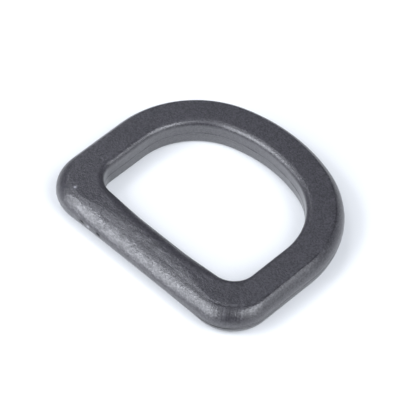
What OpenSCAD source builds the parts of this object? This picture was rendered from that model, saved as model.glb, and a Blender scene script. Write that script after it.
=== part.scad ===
// A moulded D ring for webbing, in one piece: a straight bar, two straight sides and a bow.
// The sides and the bow have flat faces and a round outer wall, and the bar is rounded all over.
// The ring lies on its lower face, with the origin on that face, under the middle of its box.
// X runs along the bar, Y from the bar to the bow, and Z up through the thickness.
// Lengths are in millimetres and angles in degrees.

/* [Opening] */
// Clear width of the opening, between its straight sides
clear_width = 26; // [21:0.5:34]
// Radius of the opening's corners, at the ends of the bar
corner_radius = 3; // [1.5:0.1:4.5]
// Length of each straight side, from its corner to its shoulder
side_length = 6.2; // [2:0.1:12]
// Radius of the opening's shoulders, where the sides turn into the bow
shoulder_radius = 9.8; // [6:0.1:12.5]
// Radius of the opening's crown, in the middle of the bow
crown_radius = 20.3; // [15:0.1:40]

/* [Outside] */
// Thickness of the ring, from its lower face to its upper face
thickness = 4.2; // [3:0.1:5.5]
// Width of the bar, from the opening to its outer side
bar_width = 5.7; // [4.5:0.1:8]
// Width of the sides and the bow, from the opening to their outer side
bow_width = 5.25; // [4:0.05:8]
// Radius of the outer corners, at mid height
outer_corner_radius = 5.9; // [3:0.1:8]

/* [Flat faces] */
// How far the round outer wall of the sides and the bow stands out past the flat faces
bow_bulge = 1.15; // [0.4:0.05:2]
// How far the outer wall stands out past the flat faces where they end, beside the bar
bar_bulge = 1.6; // [0.6:0.05:2.4]
// Radius of the flat faces' outer corners
flat_corner_radius = 5.6; // [3:0.1:8]

/* [Edges] */
// Radius of the edges around the opening, along the sides and the bow
edge_radius = 1; // [0.4:0.05:1.6]
// How far the opening widens from mid height to each face, so that the ring leaves its mould
side_draft = 0.08; // [0:0.01:0.2]
// Height of the narrow upright strip along the bar's inner side, where the mould's halves meet
parting_strip = 0.1; // [0.06:0.02:0.3]
// How far before the corner the bar's round section starts to turn into the flat one
fade_before = 3.2; // [1:0.1:6]
// How far into the corner the bar's round section has gone over into the flat one
fade_after = 1.4; // [0.6:0.1:2.2]

/* [Hidden] */

half_width = clear_width / 2;
side_end = corner_radius + side_length;
crown_drop = sqrt(pow(crown_radius - shoulder_radius, 2) - pow(half_width - shoulder_radius, 2));
clear_depth = side_end - crown_drop + crown_radius;
shoulder_angle = atan2(crown_drop, half_width - shoulder_radius);
box_middle = (clear_depth + bow_width - bar_width) / 2;

mid_height = thickness / 2;
bar_round = mid_height - parting_strip / 2;
bar_straight = half_width - corner_radius;
fade_start = bar_straight - fade_before;
fade_end = bar_straight + fade_after;

// Steps along each stretch of half the ring, and around its section
bar_steps = 2;
fade_steps = 6;
corner_steps = 12;
shoulder_steps = 15;
crown_steps = 5;
edge_steps = 6;
wall_steps = 9;

// A station is [stretch, share of that stretch], from the middle of the bar to the crown
BAR = 0;
CORNER = 1;
SHOULDER = 2;
CROWN = 3;
fade_share = fade_start / bar_straight;
stations = concat(
    [for (k = [0 : bar_steps - 1]) [BAR, fade_share * k / bar_steps]],
    [for (k = [0 : fade_steps - 1]) [BAR, fade_share + (1 - fade_share) * k / fade_steps]],
    [for (k = [0 : corner_steps]) [CORNER, k / corner_steps]],
    [for (k = [0 : shoulder_steps - 1]) [SHOULDER, k / shoulder_steps]],
    [for (k = [0 : crown_steps]) [CROWN, k / crown_steps]]
);

function mix(from, to, share) = from * (1 - share) + to * share;

function smooth(share) = let (s = min(max(share, 0), 1)) s * s * (3 - 2 * s);

function direction(angle) = [cos(angle), sin(angle)];

// Angle of the direction that points out of the ring at a station
function heading(station) =
    station[0] == BAR ? -90 :
    station[0] == CORNER ? mix(-90, 0, station[1]) :
    station[0] == SHOULDER ? mix(0, shoulder_angle, station[1]) :
    mix(shoulder_angle, 90, station[1]);

// Point of a D outline at a station: it lies so far out from the opening's sides and bow,
// has corners of its own radius, and its bar line is so far below the opening's
function outline(station, out, corner_r, bar_out) =
    let (side = half_width + out, turn = direction(heading(station)))
    station[0] == BAR ? [(side - corner_r) * station[1], -bar_out] :
    station[0] == CORNER ? [side - corner_r, corner_r - bar_out] + corner_r * turn :
    station[0] == SHOULDER ?
        [half_width - shoulder_radius, side_end] + (shoulder_radius + out) * turn :
    [0, clear_depth - crown_radius] + (crown_radius + out) * turn;

// Share of the bar's round section at a station: 1 on the bar, 0 on the sides and the bow
function bar_share(station) =
    let (along = station[0] == BAR ? bar_straight * station[1] :
        bar_straight + corner_radius * PI / 2 * station[1])
    station[0] > CORNER ? 0 : 1 - smooth((along - fade_start) / (fade_end - fade_start));

// Upper half of the section at a station, from the opening's wall to the outer wall,
// both at mid height: the edge beside the opening, the face, then the curve of the outer wall
function upper_section(station) =
    let (
        inner = outline(station, 0, corner_radius, 0),
        flat_edge = outline(station, bow_width - bow_bulge, flat_corner_radius, bar_width - bar_bulge),
        outer = outline(station, bow_width, outer_corner_radius, bar_width),
        normal = direction(heading(station)),
        across = (outer - inner) / ((outer - inner) * normal),
        bar = bar_share(station),
        edge_r = mix(edge_radius, bar_round, bar),
        draft = side_draft * (1 - bar),
        wall_top = mix(flat_edge, inner + across * mid_height, bar),
        bulge = outer - wall_top,
        bulge_depth = bulge * normal,
        wall_radius = (pow(bulge_depth, 2) + pow(mid_height, 2)) / (2 * bulge_depth),
        wall_start = acos(min(1, mid_height / wall_radius)) * (1 - bar)
    )
    concat(
        [[inner[0], inner[1], mid_height]],
        [for (k = [0 : edge_steps])
            let (
                turn = 90 * k / edge_steps,
                spot = inner + across * (draft + edge_r * (1 - cos(turn)))
            )
            [spot[0], spot[1], thickness - edge_r * (1 - sin(turn))]],
        [for (k = [0 : wall_steps])
            let (
                turn = mix(wall_start, 90, k / wall_steps),
                spot = wall_top + bulge * (sin(turn) - sin(wall_start)) / (1 - sin(wall_start))
            )
            [spot[0], spot[1], mid_height * (1 + cos(turn) / cos(wall_start))]]
    );

// Whole closed section at a station, the lower half like the upper one
function section(station) =
    let (upper = upper_section(station), last = len(upper) - 1)
    concat(upper, [for (k = [last - 1 : -1 : 1]) [upper[k][0], upper[k][1], thickness - upper[k][2]]]);

function mirrored(points) = [for (p = points) [-p[0], p[1], p[2]]];

right_sections = [for (station = stations) section(station)];
left_sections = [for (k = [len(stations) - 2 : -1 : 1]) mirrored(right_sections[k])];
sections = concat(right_sections, left_sections);

// Skin over closed sections that follow each other in a closed ring
module ring_skin(sections) {
    rings = len(sections);
    sides = len(sections[0]);
    points = [for (ring = sections) for (p = ring) p];
    faces = [
        for (i = [0 : rings - 1])
            for (j = [0 : sides - 1])
                let (
                    here = i * sides,
                    next = (i + 1) % rings * sides,
                    side = (j + 1) % sides
                )
                for (corners = [[here + j, here + side, next + side], [here + j, next + side, next + j]])
                    corners
    ];
    polyhedron(points, faces, convexity = 6);
}

module d_ring() {
    color("#2a2c30")
        translate([0, -box_middle, 0])
            ring_skin(sections);
}

d_ring();
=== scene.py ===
"""A moulded D ring for webbing: the smooth ring with its mould marks, its plastic and its stage."""

import functools
import math
from collections import namedtuple

import bpy
from bpy.props import FloatProperty, FloatVectorProperty, IntProperty, PointerProperty
from mathutils import Matrix, Vector


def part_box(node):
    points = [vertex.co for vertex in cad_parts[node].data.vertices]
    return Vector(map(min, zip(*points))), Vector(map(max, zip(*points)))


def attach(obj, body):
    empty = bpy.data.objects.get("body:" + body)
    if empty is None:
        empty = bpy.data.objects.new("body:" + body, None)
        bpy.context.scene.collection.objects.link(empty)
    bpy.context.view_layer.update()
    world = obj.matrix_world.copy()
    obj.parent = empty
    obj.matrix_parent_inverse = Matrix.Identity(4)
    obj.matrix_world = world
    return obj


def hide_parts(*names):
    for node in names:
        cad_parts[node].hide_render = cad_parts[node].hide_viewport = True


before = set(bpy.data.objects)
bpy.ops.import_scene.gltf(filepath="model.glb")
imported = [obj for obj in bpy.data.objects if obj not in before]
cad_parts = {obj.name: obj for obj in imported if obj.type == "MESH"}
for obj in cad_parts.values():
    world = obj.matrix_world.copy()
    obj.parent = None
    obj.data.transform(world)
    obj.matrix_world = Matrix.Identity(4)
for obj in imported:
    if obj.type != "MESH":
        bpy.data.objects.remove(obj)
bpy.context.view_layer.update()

bl_info = {
    "name": "D ring",
    "version": (1, 0, 0),
    "blender": (4, 5, 0),
    "location": "View3D > Sidebar > D ring",
    "description": "Builds a moulded D ring with its mould marks, its plastic and its stage",
    "category": "Object",
}

RING_LOW, RING_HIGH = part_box("d_ring")
RING_SIZE = RING_HIGH - RING_LOW
MM = 0.001
MERGE_DISTANCE = 0.0001 * MM

# Seeds of the noise in the mould line, in the painted shade of the streaks and in the painted
# shade of the step inside the flat faces' edge
LINE_SEED = 3.0
STREAK_SEED = 7.0
STEP_SEED = 5.0

# Shares of the mesh steps round half the section: the opening's wall, its edge, the face and the
# outer wall
SECTION_SHARES = (0.1, 0.22, 0.22, 0.46)

# How the steps crowd: on the face towards the outer wall, and on the outer wall towards both its
# ends, where 1 would be even
FACE_CROWDING = 1.5
OUTER_EVENNESS = 0.4

# Powers that shape the section off the bar: how much fuller than an arc the opening's edge is, and
# how soon the crisp edge of the flat faces fades towards the bar
EDGE_FULLNESS = 0.76
CRISP_EDGE_FADE = 3.0

# How strongly painted shade darkens the plastic in the groove and in the streaks, and how fast a
# surface stops being upright as it leans
GROOVE_PAINTED_SHADE = 1.7
STREAK_PAINTED_SHADE = 0.75
LEAN_FALL = 2.1

# The gloss of the upright walls
COAT_ROUGHNESS = 0.3
COAT_IOR = 1.62

# The stage's floor and camera, with lengths in metres
FLOOR_HALF = 2.0
FLOOR_ROUGHNESS = 0.9
CAMERA_TARGET = (-2.751 * MM, -0.098 * MM, 0.0)
CAMERA_NEAR = 0.01
CAMERA_FAR = 10.0

# Nicks in the ring's surface: where each lies, how far it reaches and how deep it is, in
# millimetres, and its shade, from -1 for one darkened with painted shadow to 1 for whitened plastic
Nick = namedtuple("Nick", "x y z radius depth shade")
NICKS = (
    Nick(x=-13.45, y=-12.8, z=4.2, radius=0.19, depth=0.07, shade=1.0),
    Nick(x=-9.95, y=-15.1, z=2.3, radius=0.19, depth=0.04, shade=-0.7),
    Nick(x=-9.7, y=-15.15, z=2.3, radius=0.22, depth=0.05, shade=-1.0),
    Nick(x=-9.45, y=-15.15, z=2.2, radius=0.18, depth=0.05, shade=-0.7),
    Nick(x=-8.55, y=-15.2, z=2.2, radius=0.2, depth=0.05, shade=1.0),
    Nick(x=-6.9, y=-15.2, z=2.3, radius=0.18, depth=0.04, shade=-0.6),
    Nick(x=-6.65, y=-15.15, z=2.3, radius=0.22, depth=0.05, shade=-1.0),
    Nick(x=-6.4, y=-15.15, z=2.2, radius=0.18, depth=0.04, shade=-0.7),
)

# Softboxes around the ring: direction in degrees, distance and size in metres, power in watts
Softbox = namedtuple("Softbox", "name azimuth elevation distance width height power")
SOFTBOXES = (
    Softbox("front_low", azimuth=-107, elevation=23, distance=0.6, width=0.52, height=0.38, power=4.0),
    Softbox("front_high", azimuth=-122, elevation=47, distance=0.6, width=0.32, height=0.12, power=1.75),
    Softbox("top", azimuth=-115, elevation=62, distance=0.6, width=0.4, height=0.2, power=0.8),
    Softbox("side", azimuth=5, elevation=50, distance=0.6, width=0.38, height=0.38, power=3.6),
    Softbox("side_low", azimuth=5, elevation=18, distance=0.6, width=0.5, height=0.3, power=1.2),
    Softbox("back", azimuth=168, elevation=61, distance=0.4, width=0.1, height=0.1, power=0.24),
)


def length(name, description, millimetres):
    """A size that the user can change, given in millimetres and held in metres."""
    return FloatProperty(
        name=name, description=description, default=millimetres * MM, min=0.0,
        unit="LENGTH", subtype="DISTANCE", precision=6,
    )


class DRingSizes(bpy.types.PropertyGroup):
    """Sizes of the ring that its box does not give."""

    bow_width: length("Bow width", "Width of the sides and the bow", 5.25)
    bar_width: length("Bar width", "Width of the webbing bar", 5.7)
    corner_radius: length("Corner radius", "Radius of the opening's corners", 3.0)
    shoulder_radius: length("Shoulder radius", "Radius of the opening's shoulders", 9.8)
    crown_radius: length("Crown radius", "Radius of the opening's crown", 20.3)
    outer_corner_radius: length("Outer corner radius", "Radius of the outer corners", 5.9)
    bow_bulge: length("Bow bulge", "How far the outer wall stands out past the flat faces", 1.15)
    bar_bulge: length("Bar bulge", "The same beside the bar, where the flat faces end", 1.6)
    flat_corner_radius: length("Flat corner radius", "Radius of the flat faces' corners", 5.6)
    edge_radius: length("Edge radius", "Radius of the edges around the opening", 1.0)
    side_draft: length("Draft", "How far the opening widens from mid height to a face", 0.08)
    parting_strip: length("Parting strip", "Height of the upright strip inside the bar", 0.1)
    fade_before: length("Fade before", "How far before the corner the bar's round section fades", 6.8)
    fade_after: length("Fade after", "How far into the corner the round section has gone", 3.0)


class DRingMarks(bpy.types.PropertyGroup):
    """Marks that moulding leaves on the ring."""

    line_height: length("Line height", "How far the mould line stands out where it is highest", 0.045)
    line_width: length("Line width", "Half width of the mould line", 0.08)
    line_bit: length("Line bit", "Length of the uneven bits of the mould line", 0.9)
    groove_depth: length("Groove depth", "Depth of the fine groove under the mould line", 0.03)
    groove_width: length("Groove width", "Half width of that groove", 0.15)
    crease_depth: length("Crease depth", "Depth of the crease along the bar", 0.055)
    crease_width: length("Crease width", "Half width of the crease", 0.34)
    crease_inset: length("Crease inset", "How far in the crease runs in the bar's middle", 0.8)
    # The streaks are lines of painted shade, with no shape of their own
    streak_size: length("Streak size", "Width of the fine streaks at the right corner", 0.2)
    steps_along: IntProperty(
        name="Steps along", description="Mesh steps once round the ring", default=760,
    )
    steps_around: IntProperty(
        name="Steps around", description="Mesh steps round the section", default=124,
    )


class DRingPlastic(bpy.types.PropertyGroup):
    """Colour and surface of the moulded plastic."""

    colour: FloatVectorProperty(
        name="Colour", description="Colour of the plastic", subtype="COLOR", size=3,
        default=(0.0224, 0.0212, 0.0269), min=0.0, max=1.0,
    )
    worn_colour: FloatVectorProperty(
        name="Worn colour", description="Colour where the plastic is nicked or rubbed",
        subtype="COLOR", size=3, default=(0.26, 0.26, 0.285), min=0.0, max=1.0,
    )
    roughness: FloatProperty(
        name="Roughness", description="Mean roughness of the matte surface",
        default=0.33, min=0.0, max=1.0, subtype="FACTOR",
    )
    reflection: FloatProperty(
        name="Reflection",
        description="How strongly the surface reflects, where plastic in general is 0.5",
        default=1.0, min=0.0, max=1.0, subtype="FACTOR",
    )
    wall_gloss: FloatProperty(
        name="Wall gloss",
        description="How glossy the upright walls are, where the mould was polished",
        default=0.8, min=0.0, max=1.0, subtype="FACTOR",
    )
    grain_size: length("Grain size", "Size of the eroded grain", 0.24)
    grain_depth: length("Grain depth", "Depth of the eroded grain", 0.033)
    scuff_size: length("Scuff size", "Width of the rubbed patches on the bar", 0.55)
    scuff_depth: length("Scuff depth", "Depth of the rubbed patches on the bar", 0.14)


class DRingStudio(bpy.types.PropertyGroup):
    """Camera, lights and floor."""

    azimuth: FloatProperty(
        name="Azimuth", description="Direction that the camera looks from",
        default=0.776, subtype="ANGLE",
    )
    elevation: FloatProperty(
        name="Elevation", description="Height of the camera above the floor, as an angle",
        default=0.876, subtype="ANGLE",
    )
    roll: FloatProperty(
        name="Roll", description="Turn of the camera about its view", default=0.014, subtype="ANGLE",
    )
    distance: length("Distance", "From the camera to its target", 400.0)
    lens: FloatProperty(
        name="Lens", description="Focal length of the camera", default=269.7, unit="CAMERA",
    )
    light_colour: FloatVectorProperty(
        name="Light colour", description="Colour of the softboxes and of the fill light",
        subtype="COLOR", size=3, default=(0.91, 0.94, 1.0), min=0.0, max=1.0,
    )
    fill: FloatProperty(
        name="Fill", description="Strength of the even fill light", default=0.23, min=0.0,
    )
    floor_colour: FloatVectorProperty(
        name="Floor colour", description="Colour of the pale floor", subtype="COLOR", size=3,
        default=(0.545, 0.545, 0.545), min=0.0, max=1.0,
    )
    glow_colour: FloatVectorProperty(
        name="Glow colour", description="Colour of the light that comes up through the floor",
        subtype="COLOR", size=3, default=(0.8, 0.89, 1.0), min=0.0, max=1.0,
    )
    floor_glow: FloatProperty(
        name="Floor glow", description="Strength of the light that comes up through the floor",
        default=0.19, min=0.0,
    )


def feed(tree, slot, value):
    """Links a term to a node's input, or gives the input a plain number."""
    if isinstance(value, Term):
        tree.links.new(value.socket, slot)
    else:
        slot.default_value = value


class Term:
    """A number in a node tree. Sums and products of terms add the nodes that work them out."""

    def __init__(self, tree, socket):
        self.tree = tree
        self.socket = socket

    def math(self, operation, *others):
        """The result of one Math node whose first value is this term."""
        node = self.tree.nodes.new("ShaderNodeMath")
        node.operation = operation
        for slot, value in zip(node.inputs, (self, *others)):
            feed(self.tree, slot, value)
        return Term(self.tree, node.outputs[0])

    def __add__(self, other):
        return self.math("ADD", other)

    def __sub__(self, other):
        return self.math("SUBTRACT", other)

    def __rsub__(self, other):
        return self.math("MULTIPLY", -1.0) + other

    def __mul__(self, other):
        return self.math("MULTIPLY", other)

    def __truediv__(self, other):
        return self.math("DIVIDE", other)

    __radd__ = __add__
    __rmul__ = __mul__

    def clamped(self):
        """This term kept from 0 to 1."""
        return self.math("MAXIMUM", 0.0).math("MINIMUM", 1.0)

    def smooth(self):
        """This term eased from 0 to 1, level at both ends."""
        share = self.clamped()
        return share * share * (3.0 - share * 2.0)

    def hump(self, width):
        """A smooth hump of height 1 where this term is 0, that has fallen away past width."""
        ratio = self / width
        return (ratio * ratio * -1.0).math("EXPONENT")


def mix(start, end, share):
    """The value a share of the way from start to end."""
    return start + (end - start) * share


def eased(share, level):
    """A share whose steps are finer at both ends, down to that level of even ones."""
    return share * level + share * share * (3.0 - share * 2.0) * (1.0 - level)


class Point:
    """A place or a direction in the ring's plane. Its parts are terms, or plain numbers."""

    def __init__(self, x, y):
        self.x = x
        self.y = y

    def __add__(self, other):
        return Point(self.x + other.x, self.y + other.y)

    def __sub__(self, other):
        return Point(self.x - other.x, self.y - other.y)

    def __mul__(self, factor):
        return Point(self.x * factor, self.y * factor)

    def __truediv__(self, factor):
        return Point(self.x / factor, self.y / factor)

    def dot(self, other):
        """Length of this point along a direction."""
        return self.x * other.x + self.y * other.y


def turned(angle):
    """The direction at an angle from the X axis."""
    if isinstance(angle, Term):
        return Point(angle.math("COSINE"), angle.math("SINE"))
    return Point(math.cos(angle), math.sin(angle))


def arc(radius, start, end):
    """The way along an arc of that radius, between the directions at two angles."""
    return (turned(end) - turned(start)) * radius


def noise(place, size, seed):
    """Even noise from 0 to 1 at a place in the ring's plane, with bits of about that size."""
    tree = place.x.tree
    vector = tree.nodes.new("ShaderNodeCombineXYZ")
    feed(tree, vector.inputs["X"], place.x)
    feed(tree, vector.inputs["Y"], place.y)
    node = tree.nodes.new("ShaderNodeTexNoise")
    node.noise_dimensions = "4D"
    node.inputs["W"].default_value = seed
    tree.links.new(vector.outputs[0], node.inputs["Vector"])
    feed(tree, node.inputs["Scale"], size.math("POWER", -1.0))
    return Term(tree, node.outputs[0])


def bits(place, size, seed, start, steepness):
    """Noise sharpened into bits: 0 up to the value start, and 1 soon after it."""
    return ((noise(place, size, seed) - start) * steepness).clamped()


def new_tree(name, sizes, counts):
    """A Geometry Nodes tree with a geometry output and a named input for each size and count."""
    tree = bpy.data.node_groups.new(name, "GeometryNodeTree")
    tree.is_modifier = True
    tree.interface.new_socket("Geometry", in_out="INPUT", socket_type="NodeSocketGeometry")
    tree.interface.new_socket("Geometry", in_out="OUTPUT", socket_type="NodeSocketGeometry")
    for label in sizes:
        tree.interface.new_socket(label, in_out="INPUT", socket_type="NodeSocketFloat")
    for label in counts:
        tree.interface.new_socket(label, in_out="INPUT", socket_type="NodeSocketInt")
    group_in = tree.nodes.new("NodeGroupInput")
    terms = {label: Term(tree, group_in.outputs[label]) for label in (*sizes, *counts)}
    return tree, terms


class RingFormula:
    """Works out where each point of the ring's skin lies, from its share along and around."""

    def __init__(self, size, along, around):
        self.size = size
        self.half_width = size["Clear Width"] * 0.5
        self.middle_height = size["Thickness"] * 0.5
        inset = self.half_width - size["Shoulder Radius"]
        rise = size["Crown Radius"] - size["Shoulder Radius"]
        crown_drop = (rise * rise - inset * inset).math("SQRT")
        self.side_end = size["Clear Depth"] - size["Crown Radius"] + crown_drop
        self.shoulder_turn = crown_drop.math("ARCTAN2", inset)
        self.bar_straight = self.half_width - size["Corner Radius"]
        self.corner_arc = size["Corner Radius"] * (math.pi / 2)
        self.set_path_shares(along.math("ABSOLUTE"))
        self.set_section_shares(around.math("ABSOLUTE"))
        self.normal = turned(self.heading())
        self.bar_share = self.round_share()

    def set_path_shares(self, along):
        """How much of each stretch lies behind a point, in order from the bar to the crown."""
        size = self.size
        half_bow = size["Bow Width"] * 0.5
        corner = (size["Corner Radius"] + size["Outer Corner Radius"]) * (math.pi / 4)
        shoulder = (size["Shoulder Radius"] + half_bow) * self.shoulder_turn
        crown = (size["Crown Radius"] + half_bow) * (math.pi / 2 - self.shoulder_turn)
        side = self.side_end - size["Corner Radius"]
        lengths = (self.bar_straight, corner, side, shoulder, crown)
        whole = self.bar_straight + corner + side + shoulder + crown
        left = along * whole
        shares = []
        for stretch in lengths:
            shares.append((left / stretch).clamped())
            left = left - stretch
        self.on_bar, self.on_corner, self.on_side, self.on_shoulder, self.on_crown = shares

    def set_section_shares(self, around):
        """How much of each part of the section lies behind a point, from the opening outwards."""
        start = 0.0
        behind = []
        for share in SECTION_SHARES:
            behind.append(((around - start) / share).clamped())
            start += share
        wall, edge, face, outer = behind
        self.on_wall = wall * wall
        self.on_edge = edge
        self.on_face = 1.0 - (1.0 - face).math("POWER", FACE_CROWDING)
        self.on_outer = eased(outer, OUTER_EVENNESS)

    def heading(self):
        """Angle of the direction that points out of the ring."""
        corner = (self.on_corner - 1.0) * (math.pi / 2)
        shoulder = self.on_shoulder * self.shoulder_turn
        crown = self.on_crown * (math.pi / 2 - self.shoulder_turn)
        return corner + shoulder + crown

    def round_share(self):
        """Share of the bar's round section: 1 on the bar, 0 on the sides and the bow."""
        size = self.size
        fade_start = self.bar_straight - size["Fade Before"]
        fade_length = size["Fade Before"] + size["Fade After"]
        distance = self.on_bar * self.bar_straight + self.on_corner * self.corner_arc
        return 1.0 - ((distance - fade_start) / fade_length).smooth()

    def outline(self, out, corner_radius, bar_out):
        """Point of a D outline that lies so far out from the opening, beside the bar by bar_out."""
        size = self.size
        bar = (self.half_width + out - corner_radius) * self.on_bar
        side = (self.side_end - corner_radius + bar_out) * self.on_side
        crown_end = self.shoulder_turn + self.on_crown * (math.pi / 2 - self.shoulder_turn)
        return (
            Point(bar, side - bar_out)
            + arc(corner_radius, -math.pi / 2, (self.on_corner - 1.0) * (math.pi / 2))
            + arc(size["Shoulder Radius"] + out, 0.0, self.on_shoulder * self.shoulder_turn)
            + arc(size["Crown Radius"] + out, self.shoulder_turn, crown_end)
        )

    def skin(self):
        """Place in the plane and height of a point on the upper half, and the flat faces' edge."""
        size = self.size
        inner = self.outline(0.0, size["Corner Radius"], 0.0)
        flat_edge = self.outline(
            size["Bow Width"] - size["Bow Bulge"],
            size["Flat Corner Radius"],
            size["Bar Width"] - size["Bar Bulge"],
        )
        line = size["Line Height"]
        outer = self.outline(
            size["Bow Width"] - line, size["Outer Corner Radius"] - line, size["Bar Width"] - line
        )
        across = outer - inner
        across = across / across.dot(self.normal)
        bar_round = self.middle_height - size["Parting Strip"] * 0.5
        edge_radius = mix(size["Edge Radius"], bar_round, self.bar_share)
        draft = size["Draft"] * (1.0 - self.bar_share)
        wall_top = mix(flat_edge, inner + across * self.middle_height, self.bar_share)
        bulge = outer - wall_top
        depth = bulge.dot(self.normal)
        half = self.middle_height
        wall_radius = (depth * depth + half * half) / (depth * 2.0)
        crispness = (1.0 - self.bar_share).math("POWER", CRISP_EDGE_FADE)
        start = (half / wall_radius).math("MINIMUM", 1.0).math("ARCCOSINE") * crispness
        turn = mix(start, math.pi / 2, self.on_outer)
        start_sine = start.math("SINE")
        swell = (turn.math("SINE") - start_sine) / (1.0 - start_sine)
        drop = 1.0 - turn.math("COSINE") / start.math("COSINE")
        edge_turn = self.on_edge * (math.pi / 2)
        fullness = mix(EDGE_FULLNESS, 1.0, self.bar_share)
        edge_left = edge_turn.math("COSINE").math("MAXIMUM", 0.0).math("POWER", fullness)
        edge_out = edge_radius * (1.0 - edge_left)
        spot = inner + across * (draft * self.on_wall + edge_out)
        spot = mix(spot, wall_top, self.on_face) + bulge * swell
        height = (
            half
            + (half - edge_radius) * self.on_wall
            + edge_radius * edge_turn.math("SINE").math("POWER", fullness)
            - half * drop
        )
        return spot, height, flat_edge

    def mould_line(self, spot, height, lower):
        """The way out to the uneven line between the mould's halves, and how much of a point lies
        in the fine groove under it, which is dented and also darkened with painted shade.

        The groove runs on the lower half only, where the term lower is 1. It is deepest at the
        right corner, and shallower where the line stands out and on the opening's wall.
        """
        size = self.size
        width = size["Groove Width"]
        bit = bits(spot, size["Line Bit"], LINE_SEED, start=0.42, steepness=5.0)
        from_line = height - self.middle_height
        ridge = from_line.hump(size["Line Width"]) * size["Line Height"] * mix(0.4, 1.0, bit)
        groove_and_shade = (from_line - width * 1.4).hump(width) * (from_line / width).smooth() * lower
        right_corner = (spot.x / self.half_width - 1.1).hump(0.3) * (1.0 - self.on_side)
        outwards = self.on_edge * 2.0 - 1.0
        groove_and_shade = groove_and_shade * mix(1.0, 0.5, bit) * mix(0.4, 1.0, right_corner) * mix(0.7, 1.0, outwards)
        return self.normal * ((ridge - groove_and_shade * size["Groove Depth"]) * outwards), groove_and_shade

    def crease(self, spot, flat_edge):
        """How deep the crease is that carries on the flat faces' edge along the bar.

        It is deepest at the bar's right end, faint at its left end and nearly gone on the bow.
        """
        size = self.size
        inset = size["Crease Inset"] * mix(1.0, 0.1, self.on_bar)
        distance = (spot - flat_edge).dot(self.normal) + inset
        right_end = (spot.x / self.half_width * 1.6 + 0.75).smooth()
        strength = mix(0.1, 1.0, right_end) * mix(0.15, 1.0, 1.0 - self.on_side.smooth())
        width = size["Crease Width"] * mix(0.6, 1.0, self.bar_share)
        return distance.hump(width) * size["Crease Depth"] * strength

    def streaks(self, lower):
        """How much painted shade darkens a point in the fine streaks across the outer wall's upper half.

        They lie in the middle of a corner, where on_corner is a half.
        """
        path = self.on_corner * self.corner_arc
        spot = Point(path, 0.0)
        lines = bits(spot, self.size["Streak Size"], STREAK_SEED, start=0.4, steepness=5.0)
        in_corner = (self.on_corner - 0.5).hump(0.32)
        on_wall = (self.on_outer - 0.35).hump(0.3) * (1.0 - lower)
        return lines * in_corner * on_wall * STREAK_PAINTED_SHADE

    def scuffed(self, spot):
        """How much a point is scuffed: all along the bar, and most at its left end."""
        left_end = (spot.x / self.half_width * -1.4 - 0.4).smooth()
        return self.bar_share.math("POWER", mix(1.0, 0.5, left_end)) * mix(0.55, 1.0, left_end)

    def painted_shade_step_line(self, spot, flat_edge):
        """How much painted shade darkens a point along the fine step at the flat faces' edge, which is
        broken into bits and stronger on the right."""
        distance = (spot - flat_edge).dot(self.normal)
        bit = bits(spot, self.size["Line Bit"], STEP_SEED, start=0.35, steepness=4.0)
        right = (spot.x / self.half_width + 0.2).smooth()
        strength = mix(0.12, 0.5, right) * mix(0.3, 1.0, bit) * (1.0 - self.bar_share)
        return distance.hump(self.size["Crease Width"] * 0.5) * strength

    def rubbed_edge(self, spot, flat_edge):
        """How much a point lies on the crisp edge around the flat faces, from 0 to 1."""
        distance = (spot - flat_edge).dot(self.normal)
        return distance.hump(self.size["Crease Width"]) * (1.0 - self.bar_share)


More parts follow.
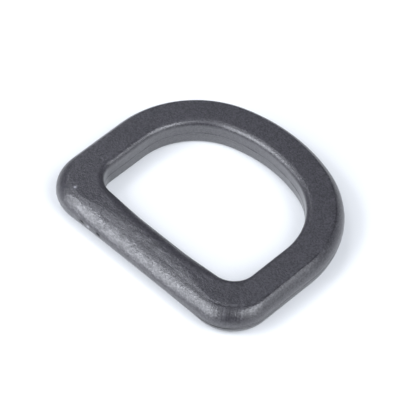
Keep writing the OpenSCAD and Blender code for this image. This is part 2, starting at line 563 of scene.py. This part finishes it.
def ring_tree(material):
    """The tree that sweeps the section round the ring's path and lays the mould marks on it."""
    sizes = (
        "Clear Width", "Clear Depth", "Thickness", "Bow Width", "Bar Width", "Corner Radius",
        "Shoulder Radius", "Crown Radius", "Outer Corner Radius", "Bow Bulge", "Bar Bulge",
        "Flat Corner Radius", "Edge Radius", "Draft", "Parting Strip", "Fade Before", "Fade After",
        "Line Height", "Line Width", "Line Bit", "Groove Depth", "Groove Width", "Crease Depth",
        "Crease Width", "Crease Inset", "Streak Size", "Middle Y",
    )
    tree, size = new_tree("ring_sweep", sizes, ("Steps Along", "Steps Around"))
    nodes, links = tree.nodes, tree.links
    # A grid from -1 to 1: along the path from crown to crown, and around the section, where what
    # is below 0 becomes its lower half
    grid = nodes.new("GeometryNodeMeshGrid")
    grid.inputs["Size X"].default_value = 2.0
    grid.inputs["Size Y"].default_value = 2.0
    links.new((size["Steps Along"] + 1.0).socket, grid.inputs["Vertices X"])
    links.new((size["Steps Around"] + 1.0).socket, grid.inputs["Vertices Y"])
    place = nodes.new("ShaderNodeSeparateXYZ")
    links.new(nodes.new("GeometryNodeInputPosition").outputs[0], place.inputs[0])
    along = Term(tree, place.outputs["X"])
    around = Term(tree, place.outputs["Y"])

    formula = RingFormula(size, along, around)
    spot, height, flat_edge = formula.skin()
    side = along.math("SIGN")
    spot = Point(spot.x * side, spot.y)
    flat_edge = Point(flat_edge.x * side, flat_edge.y)
    formula.normal = Point(formula.normal.x * side, formula.normal.y)
    crease = formula.crease(spot, flat_edge)
    rubbed = formula.rubbed_edge(spot, flat_edge)
    lower = 0.5 - around.math("SIGN") * 0.5
    line, groove_and_shade = formula.mould_line(spot, height, lower)
    spot = spot + line
    over_middle = (height - formula.middle_height - crease) * around.math("SIGN")

    joined = nodes.new("ShaderNodeCombineXYZ")
    links.new(spot.x.socket, joined.inputs["X"])
    links.new((spot.y - size["Middle Y"]).socket, joined.inputs["Y"])
    links.new((formula.middle_height + over_middle).socket, joined.inputs["Z"])
    chain = [grid.outputs["Mesh"]]

    def then(kind, geometry="Geometry", **values):
        """Adds a node of that kind to the chain of geometry and returns it."""
        node = nodes.new(kind)
        for key, value in values.items():
            setattr(node, key, value)
        links.new(chain[-1], node.inputs[geometry])
        chain.append(node.outputs[0])
        return node

    def keep(name, term):
        """Keeps a term on the mesh's points under that name, for the material."""
        node = then("GeometryNodeStoreNamedAttribute", data_type="FLOAT", domain="POINT")
        node.inputs["Name"].default_value = name
        links.new(term.socket, node.inputs["Value"])

    keep("scuffed", formula.scuffed(spot))
    keep("rubbed", rubbed)
    # Painted shade along the step at the flat faces' edge, for the material
    keep("step_shade", formula.painted_shade_step_line(spot, flat_edge))
    # The groove is dented, and in the material it is darkened with painted shade
    keep("groove_and_shade", (groove_and_shade * GROOVE_PAINTED_SHADE).clamped())
    # Painted shade in the streaks, for the material
    keep("streaks", formula.streaks(lower) * side.clamped())
    moved = then("GeometryNodeSetPosition")
    links.new(joined.outputs[0], moved.inputs["Position"])
    merged = then("GeometryNodeMergeByDistance")
    merged.inputs["Distance"].default_value = MERGE_DISTANCE
    then("GeometryNodeFlipFaces", geometry="Mesh")
    then("GeometryNodeSetShadeSmooth")

    slope = nodes.new("ShaderNodeSeparateXYZ")
    links.new(nodes.new("GeometryNodeInputNormal").outputs["Normal"], slope.inputs[0])
    upright = 1.0 - Term(tree, slope.outputs["Z"]).math("ABSOLUTE") * LEAN_FALL
    keep("upright", upright.clamped())
    # The nicks whiten the plastic, darken it with painted shadow, and dent it
    whitened, painted_nick_shade, depth = nicks(tree)
    keep("whitened", whitened)
    keep("painted_nick_shade", painted_nick_shade)
    inwards = nodes.new("ShaderNodeVectorMath")
    inwards.operation = "SCALE"
    links.new(nodes.new("GeometryNodeInputNormal").outputs["Normal"], inwards.inputs[0])
    links.new((depth * -1.0).socket, inwards.inputs["Scale"])
    dented = then("GeometryNodeSetPosition")
    links.new(inwards.outputs["Vector"], dented.inputs["Offset"])

    then("GeometryNodeRealizeInstances")
    finish = then("GeometryNodeSetMaterial")
    finish.inputs["Material"].default_value = material
    group_out = nodes.new("NodeGroupOutput")
    links.new(chain[-1], group_out.inputs["Geometry"])
    return tree


def nicks(tree):
    """How much the nicks whiten each point and how much painted shadow darkens it, both from 0 to
    1, and how deep they are there."""
    whitened = painted_nick_shade = depth = 0.0
    position = tree.nodes.new("GeometryNodeInputPosition").outputs[0]
    for nick in NICKS:
        gap = tree.nodes.new("ShaderNodeVectorMath")
        gap.operation = "DISTANCE"
        tree.links.new(position, gap.inputs[0])
        gap.inputs[1].default_value = (nick.x * MM, nick.y * MM, nick.z * MM)
        hump = Term(tree, gap.outputs["Value"]).hump(nick.radius * MM)
        depth = depth + hump * (nick.depth * MM)
        whitened = whitened + hump * max(nick.shade, 0.0)
        painted_nick_shade = painted_nick_shade + hump * max(-nick.shade, 0.0)
    return whitened.clamped(), painted_nick_shade.clamped(), depth


def plain_mesh(name, tree, values):
    """A piece whose mesh is what the tree makes with those input values."""
    holder = bpy.data.objects.new(name + "_holder", bpy.data.meshes.new(name + "_holder"))
    bpy.context.scene.collection.objects.link(holder)
    modifier = holder.modifiers.new(tree.name, "NODES")
    modifier.node_group = tree
    for item in tree.interface.items_tree:
        if item.in_out == "INPUT" and item.name in values:
            modifier[item.identifier] = values[item.name]
    graph = bpy.context.evaluated_depsgraph_get()
    mesh = bpy.data.meshes.new_from_object(holder.evaluated_get(graph))
    holder.modifiers.remove(modifier)
    bpy.data.objects.remove(holder)
    mesh.name = name
    # The first slot is the holder's own empty one
    mesh.materials.pop(index=0)
    piece = bpy.data.objects.new(name, mesh)
    bpy.context.scene.collection.objects.link(piece)
    return piece


class Surface:
    """The nodes of one material, whose patterns lie in the piece's own coordinates."""

    # Places of a Mix node's two colours and of its mixed colour among its sockets
    MIX_COLOURS = (6, 7)
    MIX_RESULT = 2

    def __init__(self, name):
        self.material = bpy.data.materials.new(name)
        self.material.use_nodes = True
        self.nodes = self.material.node_tree.nodes
        self.links = self.material.node_tree.links
        self.shader = self.nodes["Principled BSDF"]
        self.coordinates = self.nodes.new("ShaderNodeTexCoord").outputs["Object"]

    def stretched(self, ways):
        """The piece's coordinates, with a pattern drawn out along each axis by that factor."""
        node = self.nodes.new("ShaderNodeMapping")
        node.inputs["Scale"].default_value = [1.0 / way for way in ways]
        self.links.new(self.coordinates, node.inputs["Vector"])
        return node.outputs["Vector"]

    def noise(self, size, detail=2.0, ways=(1.0, 1.0, 1.0), distortion=0.0):
        """A noise whose features are about that size in metres, from 0 to 1."""
        node = self.nodes.new("ShaderNodeTexNoise")
        node.inputs["Scale"].default_value = 1.0 / size
        node.inputs["Detail"].default_value = detail
        node.inputs["Distortion"].default_value = distortion
        self.links.new(self.stretched(ways), node.inputs["Vector"])
        return node.outputs["Fac"]

    def ramp(self, source, low, high, start=0.0, end=1.0):
        """Goes from low to high while the source goes from start to end, and no further."""
        node = self.nodes.new("ShaderNodeMapRange")
        node.inputs["From Min"].default_value = start
        node.inputs["From Max"].default_value = end
        node.inputs["To Min"].default_value = low
        node.inputs["To Max"].default_value = high
        self.links.new(source, node.inputs["Value"])
        return node.outputs["Result"]

    def attribute(self, name):
        """A value that the piece's mesh keeps at its points."""
        node = self.nodes.new("ShaderNodeAttribute")
        node.attribute_name = name
        return node.outputs["Fac"]

    def math(self, operation, *values):
        """The result of a Math node on sockets and numbers."""
        node = self.nodes.new("ShaderNodeMath")
        node.operation = operation
        for slot, value in zip(node.inputs, values):
            if isinstance(value, bpy.types.NodeSocket):
                self.links.new(value, slot)
            else:
                slot.default_value = value
        return node.outputs[0]

    def blended(self, factor, first, second):
        """The first colour where the factor is 0 and the second one where it is 1."""
        node = self.nodes.new("ShaderNodeMix")
        node.data_type = "RGBA"
        self.links.new(factor, node.inputs["Factor"])
        for place, colour in zip(self.MIX_COLOURS, (first, second)):
            if isinstance(colour, bpy.types.NodeSocket):
                self.links.new(colour, node.inputs[place])
            else:
                node.inputs[place].default_value = (*colour, 1.0)
        return node.outputs[self.MIX_RESULT]

    def bump(self, height, depth, below=None):
        """A bump of that depth in metres, on top of the one below."""
        node = self.nodes.new("ShaderNodeBump")
        node.inputs["Distance"].default_value = depth
        node.inputs["Strength"].default_value = 1.0
        self.links.new(height, node.inputs["Height"])
        if below is not None:
            self.links.new(below, node.inputs["Normal"])
        return node.outputs["Normal"]

    def set(self, name, value):
        """Gives one of the shader's inputs a number, or links a socket to it."""
        if isinstance(value, bpy.types.NodeSocket):
            self.links.new(value, self.shader.inputs[name])
        else:
            self.shader.inputs[name].default_value = value


def black_plastic(plastic):
    """Matte black moulded plastic: an eroded grain, rubbed patches on the bar, worn edges and
    shade painted in its fine marks.
    """
    surface = Surface("matte_black_plastic")
    product = functools.partial(surface.math, "MULTIPLY")
    total = functools.partial(surface.math, "ADD")
    darkest = functools.partial(surface.math, "MAXIMUM")

    # Scuffs: strokes along the bar, from -1.8 to 1.8, in patches of about 3 mm where it is scuffed
    contrast = 1.8
    along_bar = (1.8, 1.0, 1.0)
    strokes = surface.noise(plastic.scuff_size, detail=4.0, ways=along_bar, distortion=0.5)
    in_patch = surface.ramp(surface.noise(3.0 * MM), 0.6, 1.0, start=0.4, end=0.6)
    scuffed = product(in_patch, surface.attribute("scuffed"))
    scuffs = surface.ramp(strokes, -contrast, contrast, start=0.35, end=0.65)
    scuffs = product(scuffs, scuffed)
    grain = surface.noise(plastic.grain_size)
    peaks = surface.ramp(grain, 0.0, 1.0, start=0.35, end=0.65)

    # Colour: mostly after the grain, a little cloudy, paler where worn and darkest where shade is
    # painted in the marks
    dark = [0.55 * part for part in plastic.colour]
    light = [1.45 * part for part in plastic.colour]
    cloudy = surface.noise(1.5 * MM, detail=3.0)
    shade = total(product(peaks, 0.7), product(cloudy, 0.3))
    colour = surface.blended(shade, dark, light)
    specks = surface.ramp(grain, 0.0, 1.0, start=0.45, end=0.65)
    edge_wear = product(product(surface.attribute("rubbed"), specks), 0.06)
    wear = total(edge_wear, surface.attribute("whitened"))
    wear = total(wear, product(scuffs, 0.02))
    colour = surface.blended(surface.ramp(wear, 0.0, 1.0), colour, plastic.worn_colour)
    # Painted shade in the groove, the streaks, the shaded nicks and the step line
    painted_shade = darkest(surface.attribute("groove_and_shade"), surface.attribute("streaks"))
    painted_shade = darkest(painted_shade, surface.attribute("painted_nick_shade"))
    painted_shade = darkest(painted_shade, surface.attribute("step_shade"))
    shadowed = [0.2 * part for part in plastic.colour]
    surface.set("Base Color", surface.blended(painted_shade, colour, shadowed))

    # Shine: uneven, stronger on the grain's peaks and the scuffs, and faint where shade is painted
    # in the marks
    spread = 0.04
    smoother, rougher = plastic.roughness - spread, plastic.roughness + spread
    patches = surface.ramp(surface.noise(0.8 * MM, detail=4.0), smoother, rougher)
    surface.set("Roughness", surface.math("SUBTRACT", patches, product(scuffs, spread)))
    shine = surface.ramp(peaks, plastic.reflection * 0.74, plastic.reflection)
    shine = product(shine, surface.ramp(scuffs, 0.68, 1.32, start=-contrast, end=contrast))
    open_share = surface.ramp(painted_shade, 1.0, 0.2)
    surface.set("Specular IOR Level", product(shine, open_share))
    gloss = product(surface.attribute("upright"), plastic.wall_gloss)
    gloss = product(gloss, surface.ramp(surface.attribute("scuffed"), 1.0, 1.25, end=0.5))
    surface.set("Coat Weight", product(gloss, open_share))
    surface.set("Coat Roughness", COAT_ROUGHNESS)
    surface.set("Coat IOR", COAT_IOR)

    fine = surface.noise(plastic.grain_size / 2, detail=1.0)
    fine = surface.bump(fine, plastic.grain_depth / 2)
    grained = surface.bump(grain, plastic.grain_depth, fine)
    rubbed = product(strokes, scuffed)
    surface.set("Normal", surface.bump(rubbed, plastic.scuff_depth, grained))
    return surface.material


class DRING_OT_ring(bpy.types.Operator):
    """Sweep the ring, lay its mould marks on it and give it its plastic"""

    bl_idname = "dring.ring"
    bl_label = "Make the ring"

    def execute(self, context):
        scene = context.scene
        sizes, marks = scene.d_ring_sizes, scene.d_ring_marks
        values = {
            "Clear Width": RING_SIZE.x - 2 * sizes.bow_width,
            "Clear Depth": RING_SIZE.y - sizes.bow_width - sizes.bar_width,
            "Thickness": RING_SIZE.z,
            "Bow Width": sizes.bow_width,
            "Bar Width": sizes.bar_width,
            "Corner Radius": sizes.corner_radius,
            "Shoulder Radius": sizes.shoulder_radius,
            "Crown Radius": sizes.crown_radius,
            "Outer Corner Radius": sizes.outer_corner_radius,
            "Bow Bulge": sizes.bow_bulge,
            "Bar Bulge": sizes.bar_bulge,
            "Flat Corner Radius": sizes.flat_corner_radius,
            "Edge Radius": sizes.edge_radius,
            "Draft": sizes.side_draft,
            "Parting Strip": sizes.parting_strip,
            "Fade Before": sizes.fade_before,
            "Fade After": sizes.fade_after,
            "Line Height": marks.line_height,
            "Line Width": marks.line_width,
            "Line Bit": marks.line_bit,
            "Groove Depth": marks.groove_depth,
            "Groove Width": marks.groove_width,
            "Streak Size": marks.streak_size,
            "Crease Depth": marks.crease_depth,
            "Crease Width": marks.crease_width,
            "Crease Inset": marks.crease_inset,
            "Middle Y": -RING_LOW.y - sizes.bar_width,
            "Steps Along": marks.steps_along,
            "Steps Around": marks.steps_around,
        }
        tree = ring_tree(black_plastic(scene.d_ring_plastic))
        ring = plain_mesh("moulded_ring", tree, values)
        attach(ring, "root")
        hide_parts("d_ring")
        return {"FINISHED"}


def add_softbox(softbox, colour):
    """An area light that shines at the ring."""
    light = bpy.data.lights.new(softbox.name, "AREA")
    light.shape = "RECTANGLE"
    light.size = softbox.width
    light.size_y = softbox.height
    light.energy = softbox.power
    light.color = colour
    lamp = bpy.data.objects.new(softbox.name, light)
    bpy.context.scene.collection.objects.link(lamp)
    level = math.cos(math.radians(softbox.elevation))
    towards = Vector((
        math.cos(math.radians(softbox.azimuth)) * level,
        math.sin(math.radians(softbox.azimuth)) * level,
        math.sin(math.radians(softbox.elevation)),
    ))
    lamp.location = towards * softbox.distance
    lamp.rotation_euler = towards.to_track_quat("Z", "Y").to_euler()


def add_floor(studio):
    """A wide pale floor, lit a little through itself."""
    mesh = bpy.data.meshes.new("floor")
    corners = [
        (x * FLOOR_HALF, y * FLOOR_HALF, 0) for x, y in ((-1, -1), (1, -1), (1, 1), (-1, 1))
    ]
    mesh.from_pydata(corners, [], [(0, 1, 2, 3)])
    floor = bpy.data.objects.new("floor", mesh)
    bpy.context.scene.collection.objects.link(floor)
    paper = bpy.data.materials.new("pale_floor")
    paper.use_nodes = True
    shader = paper.node_tree.nodes["Principled BSDF"]
    shader.inputs["Base Color"].default_value = (*studio.floor_colour, 1.0)
    shader.inputs["Roughness"].default_value = FLOOR_ROUGHNESS
    shader.inputs["Emission Color"].default_value = (*studio.glow_colour, 1.0)
    shader.inputs["Emission Strength"].default_value = studio.floor_glow
    mesh.materials.append(paper)


def add_fill(studio):
    """An even light from all round."""
    world = bpy.data.worlds.new("studio")
    world.use_nodes = True
    background = world.node_tree.nodes["Background"]
    background.inputs["Color"].default_value = (*studio.light_colour, 1.0)
    background.inputs["Strength"].default_value = studio.fill
    bpy.context.scene.world = world


def add_camera(studio):
    """The camera, which looks at its target from the studio's azimuth and elevation."""
    camera = bpy.data.cameras.new("camera")
    camera.lens = studio.lens
    camera.clip_start = CAMERA_NEAR
    camera.clip_end = CAMERA_FAR
    view = bpy.data.objects.new("camera", camera)
    bpy.context.scene.collection.objects.link(view)
    level = math.cos(studio.elevation)
    back = Vector((
        math.sin(studio.azimuth) * level,
        -math.cos(studio.azimuth) * level,
        math.sin(studio.elevation),
    ))
    right = Vector((math.cos(studio.azimuth), math.sin(studio.azimuth), 0.0))
    up = back.cross(right)
    turn = Matrix((right, up, back)).transposed().to_4x4()
    place = Matrix.Translation(Vector(CAMERA_TARGET) + back * studio.distance)
    view.matrix_world = place @ turn @ Matrix.Rotation(studio.roll, 4, "Z")
    bpy.context.scene.camera = view


class DRING_OT_stage(bpy.types.Operator):
    """Lay the pale floor and set the studio lights and the camera"""

    bl_idname = "dring.stage"
    bl_label = "Set the stage"

    def execute(self, context):
        studio = context.scene.d_ring_studio
        add_floor(studio)
        add_fill(studio)
        for softbox in SOFTBOXES:
            add_softbox(softbox, studio.light_colour)
        add_camera(studio)
        context.scene.view_settings.view_transform = "Standard"
        return {"FINISHED"}


class DRING_PT_panel(bpy.types.Panel):
    """Lists the ring's sizes, marks, plastic and stage with the operators that make them"""

    bl_label = "D ring"
    bl_idname = "DRING_PT_panel"
    bl_space_type = "VIEW_3D"
    bl_region_type = "UI"
    bl_category = "D ring"

    def draw(self, context):
        scene = context.scene
        for group in (getattr(scene, name) for name in GROUPS):
            box = self.layout.box()
            for name in group.bl_rna.properties.keys():
                if name not in ("rna_type", "name"):
                    box.prop(group, name)
        for operator in OPERATORS:
            self.layout.operator(operator.bl_idname)


GROUPS = {
    "d_ring_sizes": DRingSizes,
    "d_ring_marks": DRingMarks,
    "d_ring_plastic": DRingPlastic,
    "d_ring_studio": DRingStudio,
}
OPERATORS = (DRING_OT_ring, DRING_OT_stage)
CLASSES = (*GROUPS.values(), *OPERATORS, DRING_PT_panel)


def register():
    """Registers the classes and hangs the groups of properties on the scene."""
    for each in CLASSES:
        bpy.utils.register_class(each)
    for name, group in GROUPS.items():
        setattr(bpy.types.Scene, name, PointerProperty(type=group))


def unregister():
    """Takes away what register() added."""
    for name in GROUPS:
        delattr(bpy.types.Scene, name)
    for each in reversed(CLASSES):
        bpy.utils.unregister_class(each)


def main():
    """Builds the ring and its stage."""
    register()
    bpy.ops.dring.ring()
    bpy.ops.dring.stage()


if __name__ == "__main__":
    main()
